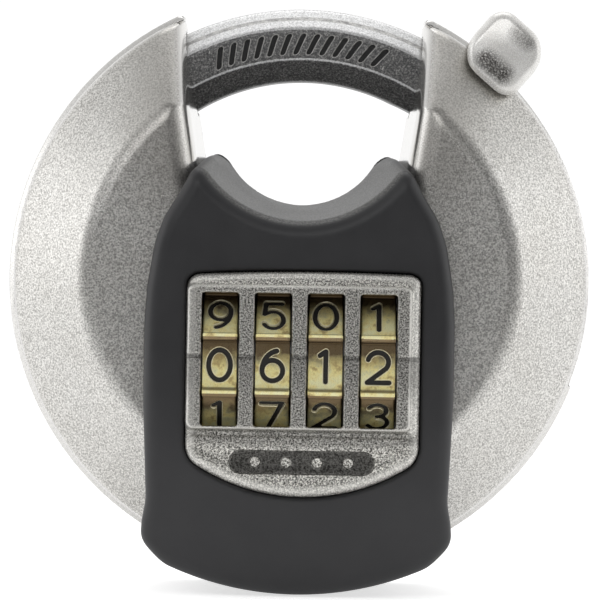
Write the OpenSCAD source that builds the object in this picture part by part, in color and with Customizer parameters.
// Disc padlock with a shrouded turning shackle and a four-wheel combination.
// The parts are drawn with the lock lying on its back: X runs across it, Y up it and
// Z out of its front. stand() then stands the lock up, so its front faces -Y and +Z is
// up, with the origin in the middle of the opening that the staple passes through.
// Angles around the disc start at its right-hand side and turn towards its top.

/* [Disc body] */
// Radius of the body at its rim
disc_r = 35; // [34.8:0.1:35.4]
// Distance from the middle of the body to each flat face
half_t = 13; // [12.9:0.1:13.2]
// Radius at which the flat faces start to fold down
flat_r = 24.4; // [24:0.1:24.8]
// Height of the shoulder where the fold meets the rim
rim_h = 4.9; // [4.8:0.1:5]
// Thickness of the pressed shells
wall = 1.4; // [1.3:0.1:1.4]
// How far the rear shell's edge laps outside the front shell
lap = 0.65; // [0.6:0.05:0.7]

/* [Opening] */
// Width of the notch at the middle of the body, level with the middle of the opening
notch_w = 24.2; // [24:0.1:24.4]
// How far each notch wall leans outwards as it rises, in degrees
notch_lean = 9; // [8:0.5:10]
// How much further each notch wall stands at the flat faces
notch_flare = 1.2; // [1:0.1:1.3]
// Height of the notch's floor above the disc's centre
notch_floor = 5.2; // [5:0.1:5.3]
// Height of the middle of the opening above the disc's centre
opening_up = 17.5; // [17:0.5:18]
// Radius of the saddle under the opening, at the middle of the body
saddle_r = 10; // [9.8:0.1:10.2]
// Radius of the saddle at the front of the cover
saddle_front_r = 14; // [13.5:0.5:14]
// Height of the saddle's centre at the middle of the body
saddle_up = 19.1; // [19:0.1:19.3]
// How much the saddle's centre rises to the front of the cover
saddle_rise = 1.5; // [1.3:0.1:1.7]

/* [Shackle] */
// Inner radius of the shackle's arc
shackle_in = 23.9; // [23.8:0.1:24]
// Width across the flats of the eight-sided bar
bar_w = 8.7; // [8.5:0.1:8.7]
// Angle of the free end, in the left horn
free_end = 124; // [122:1:125]
// Angle of the tail, inside the body
tail_end = -8; // [-9:1:-7]
// Turn from locked to open
open_turn = 64; // [62:1:64]
// Angle of the thumb knob
knob_at = 49; // [46:1:50]
// Distance of the thumb knob's middle from the disc's centre
knob_r = 36.3; // [36.2:0.1:36.8]
// Travel of the lock bolt
bolt_travel = 2.3; // [2.2:0.05:2.3]

/* [Dials] */
// Radius to the corners between a dial's ten flats
dial_r = 10.4; // [10.2:0.1:10.5]
// Half width of the bars between the flats
bar_half = 0.45; // [0.4:0.05:0.5]
// How far the bars stand over the corners
bar_up = 0.35; // [0.3:0.05:0.35]
// Width of a dial
dial_w = 4; // [3.8:0.1:4]
// Distance from one dial to the next
dial_pitch = 6.1; // [6:0.1:6.2]
// Height of the dials' axis above the disc's centre
axis_up = -10.05; // [-10.1:0.05:-10]
// Distance of the dials' axis in front of the middle of the body
axis_out = 12; // [11.9:0.1:12]
// Radius of the axle
axle_r = 2; // [1.8:0.1:2.2]
// Travel of the reset slider
reset_travel = 0.8; // [0.6:0.1:0.8]

/* [Covers] */
// Distance from the middle of the body to the front cover's face
front_face = 20; // [19.8:0.1:20.2]
// Distance from the middle of the body to the rear cover's face
back_face = 15.5; // [15:0.1:16]
// Radius of the covers' round lower edge
cover_r = 36.9; // [36.6:0.1:37]
// How far the covers' faces slope back towards their lower edge
foot_slope = 3; // [2:0.5:4]

/* [Hidden] */
$fn = 96;

// Gaps: between pieces that only meet, and around pieces that move
gap = 0.05;
clear = 0.3;
// A length longer than the lock, for cuts that go right through
far = 90;

shackle_out = shackle_in + bar_w;
bar_mid = shackle_in + bar_w / 2;
front_r = disc_r - lap;
// Half of the knob's neck: along the rim, and through the thickness
neck = [2.2, 1.9];
// Nose of the lock bolt: how far it reaches when locked
nose_out = shackle_in + bolt_travel - 0.2;
// Fence bar: how far its fingers are from the dials' axis when lifted
finger_lift = 8.9;
star_r = 8.6;
sleeve_r = 5.6;
// The housing sits a little to the right of the dials
housing_x = 0.5;
// Half of the housing's width, its top, and the centre and radius of its round foot
housing_half = 13.5;
housing_top = 1.3;
// Radius of the housing's arched top, and how far right its highest point is
arch_r = 150;
arch_x = 3;
foot_up = -2.2;
foot_r = 23;
// Front of the housing's flange, its raised face and its inner panel
flange_out = 17.4;
raised_out = 21.4;
panel_out = 22;
// Extent of the ears' bay along X, behind the dials' window
bay = [-14.2, 16];
// Ears of the core frame: left edges, thickness
ear_x = [-13.9, 14.5];
ear_t = 1.2;
// Screws into the housing, and rivets through the core frame, as [x, y]
screw_at = [[-14.6, 1], [14.6, 1], [-5, -22.4], [5, -22.4]];
rivet_at = [[-11.5, 1], [12.2, 1.2], [-10.6, -12.4], [9.5, -12.4]];
// Front face of the core frame's plate, and its thickness
plate_out = -5;
plate_t = 1.5;
// Left and right faces of the reset slider
slider_x = [12.5, 13.5];

module stand() translate([0, 0, -opening_up]) rotate([90, 0, 0]) children();

// Places a piece on the dials' axis, with its own axis along X
module on_axis(x = 0) translate([x, axis_up, axis_out]) rotate([0, 90, 0]) children();

function dial_x(n) = (n - 2.5) * dial_pitch;

module rounded(w, h, r) {
    square([w - 2 * r, h], center = true);
    square([w, h - 2 * r], center = true);
    for (x = [-1, 1], y = [-1, 1]) translate([x * (w / 2 - r), y * (h / 2 - r)]) circle(r);
}

// A block between two corners
module block(low, high) translate(low) cube(high - low);

// The slot that the reset slider moves in, from depth a to depth b
module reset_slot(a, b) block([slider_x[0] - clear, -15.5, a],
    [slider_x[1] + reset_travel + clear, -11.9, b]);

// A ring or tube standing on Z, from height a to height b
module tube(r_out, r_in, a, b) {
    translate([0, 0, a]) difference() {
        cylinder(r = r_out, h = b - a);
        translate([0, 0, -1]) cylinder(r = r_in, h = b - a + 2);
    }
}

// Solid half of the disc, from the middle of the body out to its face
module half_disc(edge_r, grow = 0, low = 0) {
    rotate_extrude() polygon([
        [0, low], [edge_r + grow, low], [edge_r + grow, rim_h - 0.7],
        [edge_r - 0.25 + grow, rim_h + grow], [edge_r - 1.35 + grow, rim_h + 1.1 + grow],
        [flat_r + 1.6 + grow, half_t - 0.5 + grow], [flat_r + grow / 2, half_t + grow],
        [0, half_t + grow]]);
}

// What the half disc is hollowed by
module half_hollow(edge_r) {
    rotate_extrude() polygon([
        [0, -5], [edge_r - wall, -5], [edge_r - wall, rim_h - 0.8],
        [edge_r - wall - 0.85, rim_h + 0.07], [flat_r + 0.5, half_t - wall],
        [0, half_t - wall]]);
}

// Everything to the left of the notch's right-hand wall, which is moved right by grow
module notch_side(grow) {
    z = 22;
    out = z * notch_flare / half_t;
    translate([notch_w / 2 + grow, opening_up, 0]) rotate([90, 0, -notch_lean])
        linear_extrude(far, center = true)
            polygon([[0, 0], [out, z], [-far, z], [-far, -z], [out, -z]]);
}

// The notch from its floor upwards, larger by grow on its sides and floor
module notch(grow) intersection() {
    notch_side(grow);
    mirror([1, 0, 0]) notch_side(grow);
    block([-far / 2, notch_floor - grow, -21], [far / 2, far / 2, 21]);
}

// The path of the eight-sided bar, larger by grow all round
module bar_path(from, to, grow = 0) {
    rotate_extrude(angle = to - from, start = from) translate([bar_mid, 0])
        rotate(22.5) circle(r = (bar_w / 2 + grow) / cos(22.5), $fn = 8);
}

// A shell's openings: the notch, the way of the shackle and the slot for the knob's neck
module pressed_shell(edge_r) {
    reach = asin((neck[0] + clear) / shackle_out) + 1;
    difference() {
        children();
        notch(0);
        difference() {
            half_hollow(edge_r);
            notch(wall);
        }
        bar_path(52, free_end + 1, 0.25);
        rotate_extrude(angle = open_turn + 2 * reach, start = knob_at - open_turn - reach)
            translate([shackle_out - 0.5, -neck[1] - clear]) square([8, 2 * (neck[1] + clear)]);
    }
}

module front_shell() color([0.72, 0.71, 0.68]) stand() difference() {
    pressed_shell(front_r) {
        half_disc(front_r, low = 0.02);
        tube(front_r, front_r - wall, -1, 0.5);
    }
    block([-11.6, -21.3, 8], [11.6, 1.2, 20]);
    block([11, axis_up - star_r - 0.4, 8], [13.5, axis_up + star_r + 0.4, 20]);
    block([bay[0], -15.3, 8], [bay[1], -3.7, 20]);
    for (p = screw_at) translate([p[0], p[1], 8]) cylinder(r = 1, h = 8);
}

module rear_shell() color([0.66, 0.65, 0.63]) stand() mirror([0, 0, 1]) difference() {
    pressed_shell(disc_r) {
        half_disc(disc_r, low = 0.02);
        tube(disc_r, front_r + gap, -2.6, 0.5);
    }
    tube(front_r + gap, front_r - wall - gap, -1, 1.05);
    for (p = rivet_at) translate([p[0], p[1], 8]) cylinder(r = 1.25, h = 8);
    reset_slot(8, 20);
}

// Inner radius of the shackle's cam ramp, which pushes the bolt in as the shackle turns
function ramp_r(a) = nose_out + 0.2 - bolt_travel * a / open_turn;

module shackle() color([0.45, 0.45, 0.46]) stand() difference() {
    bar_path(tail_end, free_end);
    translate([0, 0, -neck[1] - 0.4]) linear_extrude(2 * neck[1] + 0.8) polygon(concat(
        [[20, -1.7], [ramp_r(0), -1.7]],
        [for (a = [0:4:open_turn]) ramp_r(a) * [cos(a), sin(a)]],
        [20 * [cos(open_turn), sin(open_turn)]]));
    rotate([0, 0, knob_at]) translate([26.5, 0, 0]) rotate([0, 90, 0]) cylinder(r = 1.5, h = 10);
}

module thumb_knob() color([0.8, 0.79, 0.77]) stand() rotate([0, 0, knob_at]) difference() {
    union() {
        difference() {
            translate([knob_r, 0, 0]) intersection() {
                linear_extrude(20, center = true) rounded(8.4, 8.4, 2.6);
                rotate([90, 0, 0]) linear_extrude(20, center = true) rounded(8.4, 17, 2.4);
                rotate([0, 90, 0]) linear_extrude(20, center = true) rounded(17, 8.4, 2.4);
            }
            for (side = [0, 1]) mirror([0, 0, side]) half_disc(disc_r, grow = 0.4, low = -1);
        }
        block([shackle_out + gap, -neck[0], -neck[1]], [knob_r - 0.5, neck[0], neck[1]]);
    }
    rotate([0, 90, 0]) cylinder(r = 1.5, h = 50);
    translate([knob_r + 2.3, 0, 0]) rotate([0, 90, 0]) cylinder(r = 2.5, h = 10);
}

module knob_screw() color([0.35, 0.35, 0.36]) stand() rotate([0, 0, knob_at])
    rotate([0, 90, 0]) difference() {
        union() {
            translate([0, 0, 27]) cylinder(r = 1.45, h = knob_r - 24.5);
            translate([0, 0, knob_r + 2.35]) cylinder(r = 2.4, h = 1.3);
        }
        translate([0, 0, knob_r + 2.8]) cylinder(r = 1.3, h = 5, $fn = 6);
    }

// Outline that both covers share: its right-hand side is listed from the horn down
module cover_outline() {
    side = [[11, 15.2], [12.9, 12.7], [14.6, 9.4], [16.2, 7], [17.1, 4], [17.8, -1],
        [18.05, -5], [18.05, -14], [17.6, -26], [18.1, -28.5], [18.25, -31], [17.4, -32.6]];
    count = len(side);
    intersection() {
        polygon(concat(side, [[15, -40], [-15, -40]],
            [for (i = [1:count]) [-side[count - i][0], side[count - i][1]]]));
        circle(cover_r);
    }
}

// A cover before its own cut-outs: it sits on the shell, wraps under it and fills the
// notch below the saddle
module moulded_cover(depth) difference() {
    intersection() {
        linear_extrude(depth) cover_outline();
        rotate_extrude() polygon([[0, -1], [cover_r + 1, -1], [cover_r + 1, depth - foot_slope],
            [cover_r - 6, depth + 0.01], [0, depth + 0.01]]);
    }
    block([-far, -far, -far], [far, far, gap]);
    difference() {
        half_disc(disc_r, grow = gap, low = -3);
        notch(-0.1);
    }
    block([-11.9, 2, -1], [11.9, notch_floor + 0.1, half_t - 0.1]);
    translate([0, saddle_up, 0]) rotate([-atan(saddle_rise / front_face), 0, 0])
        translate([0, 0, -2]) cylinder(
            r1 = saddle_r - (saddle_front_r - saddle_r) / 10,
            r2 = saddle_front_r, h = front_face + 2);
}

// Outline of the housing's raised face, larger by grow
module housing_outline(grow = 0) intersection() {
    translate([housing_x, housing_top + grow - 18])
        rounded(2 * (housing_half + grow), 36, 1.5);
    translate([arch_x, housing_top - arch_r]) circle(arch_r + grow, $fn = 720);
    translate([housing_x, foot_up]) circle(foot_r + grow);
}

module front_cover() color([0.12, 0.12, 0.13]) stand() difference() {
    moulded_cover(front_face);
    linear_extrude(flange_out + gap) housing_outline(2.9 + 0.15);
    linear_extrude(far) housing_outline(0.12);
}

module rear_cover() color([0.1, 0.1, 0.11]) stand() mirror([0, 0, 1]) difference() {
    moulded_cover(back_face);
    for (p = rivet_at) translate([p[0], p[1], 10]) cylinder(r = 2.2, h = 3.95);
    reset_slot(8, 20);
}

module dial_housing() color([0.5, 0.49, 0.46]) stand() difference() {
    union() {
        translate([0, 0, half_t + gap]) linear_extrude(flange_out - half_t - gap)
            housing_outline(2.9);
        linear_extrude(raised_out) housing_outline();
        translate([0, -9.1, 0]) linear_extrude(panel_out) rounded(25.9, 16.7, 0.8);
    }
    block([-far, -far, -far], [far, far, half_t + gap]);
    for (n = [1:4]) {
        block([dial_x(n) - 2.15, -17.1, 12], [dial_x(n) + 2.15, -1.4, 30]);
        on_axis(dial_x(n)) cylinder(r = dial_r + bar_up + 0.3, h = 4.3, center = true);
    }
    on_axis(-12.5) cylinder(r = star_r + 0.4, h = 25.9);
    block([bay[0], -15.3, 8], [bay[1], -3.7, 16.6]);
    for (p = screw_at) translate([p[0], p[1], 8]) cylinder(r = 0.95, h = 8.4);
}

// A dial's outline: ten flats, with a raised bar over each corner between them
module dial_outline() {
    side = bar_half * tan(18);
    corner = [[dial_r - side, -bar_half], [dial_r + bar_up, -bar_half],
        [dial_r + bar_up, bar_half], [dial_r - side, bar_half]];
    polygon([for (i = [0:9], p = corner) let (a = 36 * i + 18)
        [p[0] * cos(a) - p[1] * sin(a), p[0] * sin(a) + p[1] * cos(a)]]);
}

// A dial: its bore runs on a sleeve, and it has ten pockets for the sleeve's lug
module dial_wheel(n) color([0.78, 0.66, 0.36]) stand() on_axis(dial_x(n)) difference() {
    linear_extrude(dial_w, center = true) dial_outline();
    rotate(18) cylinder(r = sleeve_r + gap, h = 10, center = true);
    for (i = [0:9]) rotate(36 * i) block([sleeve_r - 0.5, -1, 1.3], [7.1, 1, 5]);
}

// A tumbler sleeve: it turns with its dial through a lug, and its star has one tooth
// missing, which lets the fence finger in at any distance between the other nine
module tumbler_sleeve(n) color([0.7, 0.7, 0.72]) stand() on_axis(dial_x(n)) difference() {
    union() {
        translate([0, 0, -1.95]) rotate(18) cylinder(r = sleeve_r, h = n < 4 ? 6 : 5.15);
        translate([0, 0, 2.1]) linear_extrude(1) {
            rotate(18) circle(6.35);
            for (i = [1:9]) rotate(36 * i) translate([5, -0.75]) square([star_r - 5, 1.5]);
        }
        rotate(180) block([5, -0.8, 1.45], [6.9, 0.8, 2.5]);
    }
    cylinder(r = axle_r + gap, h = 20, center = true);
}

module dial_axle() color([0.6, 0.6, 0.62]) stand() on_axis(-14) cylinder(r = axle_r, h = 29.1);

module axle_collar() color([0.5, 0.5, 0.52]) stand() on_axis()
    tube(4.2, axle_r + 0.02, -12.4, -11.2);

module reset_slider() color([0.75, 0.72, 0.6]) stand() difference() {
    union() {
        block([slider_x[0], -15.2, 8], [slider_x[1], -6.5, 16]);
        block([slider_x[0], -15.2, -14.9], [slider_x[1], -12.2, 8]);
    }
    on_axis(10) cylinder(r = axle_r + 0.02, h = 6);
}

// Centre line of a coil, and the round section swept along it as one closed solid
module coil(r, wire, turns, length) {
    steps = 14 * turns;
    sides = 6;
    ring = [for (i = [0:steps], s = [0:sides - 1])
        let (a = 360 * i / 14, b = 360 * s / sides, d = r + wire / 2 * cos(b))
        [d * cos(a), d * sin(a), wire / 2 + (length - wire) * i / steps + wire / 2 * sin(b)]];
    sides_of_tube = [for (i = [0:steps - 1], s = [0:sides - 1])
        let (t = (s + 1) % sides, k = i * sides)
        [k + s, k + sides + s, k + sides + t, k + t]];
    polyhedron(ring, concat([[for (s = [0:sides - 1]) s]], sides_of_tube,
        [[for (s = [sides - 1:-1:0]) steps * sides + s]]));
}

module bolt_spring() color([0.8, 0.8, 0.82]) stand() translate([9.65, 0, -1.5])
    rotate([0, 90, 0]) coil(1.35, 0.45, 6, 5.9);

module reset_spring() color([0.8, 0.8, 0.82]) stand() translate([13.55, -13.6, -8.1])
    rotate([0, 90, 0]) coil(1.1, 0.4, 8, 7.8);

// The core frame: a plate on four bosses, two ears for the axle, two rails for the
// bolt, and the stops of both springs
module core_frame() color([0.55, 0.55, 0.57]) stand() difference() {
    union() {
        back = plate_out - plate_t;
        block([-15, -16, back], [15.7, 3.4, plate_out]);
        block([15, -3.6, back], [22.6, 3.6, plate_out]);
        block([15, -15.2, back], [22.4, -11.9, plate_out]);
        block([21.4, -15.2, -9.3], [22.4, -11.9, plate_out]);
        for (x = ear_x) block([x, -15, back], [x + ear_t, -4.5, 16.1]);
        for (s = [0, 1]) mirror([0, s, 0]) block([19.6, 2, back], [22.6, 3.4, 2.4]);
        block([8.4, -1.8, back], [9.6, 1.8, 0.2]);
        for (p = rivet_at) translate([p[0], p[1], -half_t + wall + gap])
            cylinder(r = 2.3, h = half_t - wall + plate_out - 1);
    }
    on_axis(-20) cylinder(r = axle_r + 0.04, h = 40);
    block([-20, -11.9, -4], [17, -8.2, 1.4]);
    reset_slot(-20, 0);
    for (p = rivet_at) translate([p[0], p[1], -20]) cylinder(r = 1.25, h = 30);
}

// The detent spring: a finger behind each dial, on a strip that stands on the plate
module detent_spring() color([0.7, 0.72, 0.76]) stand() {
    for (n = [1:4]) translate([dial_x(n), axis_up, axis_out]) rotate([-45, 0, 0])
        block([-1.5, -4, -dial_r - bar_up - 0.7], [1.5, 3.5, -dial_r - bar_up - 0.3]);
    block([-10.65, -15.5, -1], [10.65, -15.1, 2.4]);
    for (x = [-8, 8]) block([x - 2, -15.5, plate_out + 0.02], [x + 2, -15.1, 0]);
}

module fence_bar() color([0.6, 0.6, 0.63]) stand() {
    block([-14.6, -11.5, -3.5], [19.2, -8.6, -1.5]);
    for (n = [1:4]) block([dial_x(n) + 2.15, -10.95, -1.6],
        [dial_x(n) + 3.95, -9.15, axis_out - finger_lift]);
    block([16.8, -8.7, -3.5], [19.2, -2, -1.5]);
    translate([18, -2.1, -2.5]) rotate([-90, 0, 0]) cylinder(r = 0.8, h = 3.8);
}

// The lock bolt: its slanted slot drives the fence bar's pin as the bolt slides
module lock_bolt() color([0.58, 0.58, 0.6]) stand() difference() {
    union() {
        block([15.6, -1.8, -4], [22, 1.8, 2.2]);
        block([21.5, -1.2, -1.8], [nose_out - 0.5, 1.2, 1.8]);
        translate([nose_out - 1.2, 0, -1.8]) cylinder(r = 1.2, h = 3.6);
    }
    for (t = [0, bolt_travel]) translate([18 + t, -5, -2.5 + t])
        rotate([-90, 0, 0]) cylinder(r = 0.88, h = 10);
    translate([18, 0, -2.5]) rotate([0, -45, 0])
        block([0, -5, -0.88], [bolt_travel * sqrt(2), 5, 0.88]);
}

module shackle_guide() color([0.5, 0.5, 0.5]) stand()
    rotate_extrude(angle = 34, start = 12) translate([21.9, -half_t + wall + gap])
        square([1.7, 15.5]);

module housing_screws() color([0.4, 0.4, 0.42]) stand() for (p = screw_at)
    translate([p[0], p[1], 0]) {
        translate([0, 0, 10.35]) cylinder(r = 1.4, h = 1.2);
        translate([0, 0, 11]) cylinder(r = 0.9, h = 5.2);
    }

module frame_rivets() color([0.6, 0.6, 0.6]) stand() for (p = rivet_at)
    translate([p[0], p[1], 0]) {
        translate([0, 0, plate_out + 0.02]) cylinder(r = 1.9, h = 0.75);
        translate([0, 0, -13.3]) cylinder(r = 1.2, h = 9);
        translate([0, 0, -half_t - 0.75]) cylinder(r = 1.9, h = 0.7);
    }

front_shell();
rear_shell();
shackle();
thumb_knob();
knob_screw();
front_cover();
rear_cover();
dial_housing();
dial_wheel(1);  // dial_wheel_1
dial_wheel(2);  // dial_wheel_2
dial_wheel(3);  // dial_wheel_3
dial_wheel(4);  // dial_wheel_4
tumbler_sleeve(1);  // tumbler_sleeve_1
tumbler_sleeve(2);  // tumbler_sleeve_2
tumbler_sleeve(3);  // tumbler_sleeve_3
tumbler_sleeve(4);  // tumbler_sleeve_4
dial_axle();
axle_collar();
reset_slider();
reset_spring();
core_frame();
detent_spring();
fence_bar();
lock_bolt();
bolt_spring();
shackle_guide();
housing_screws();
frame_rivets();
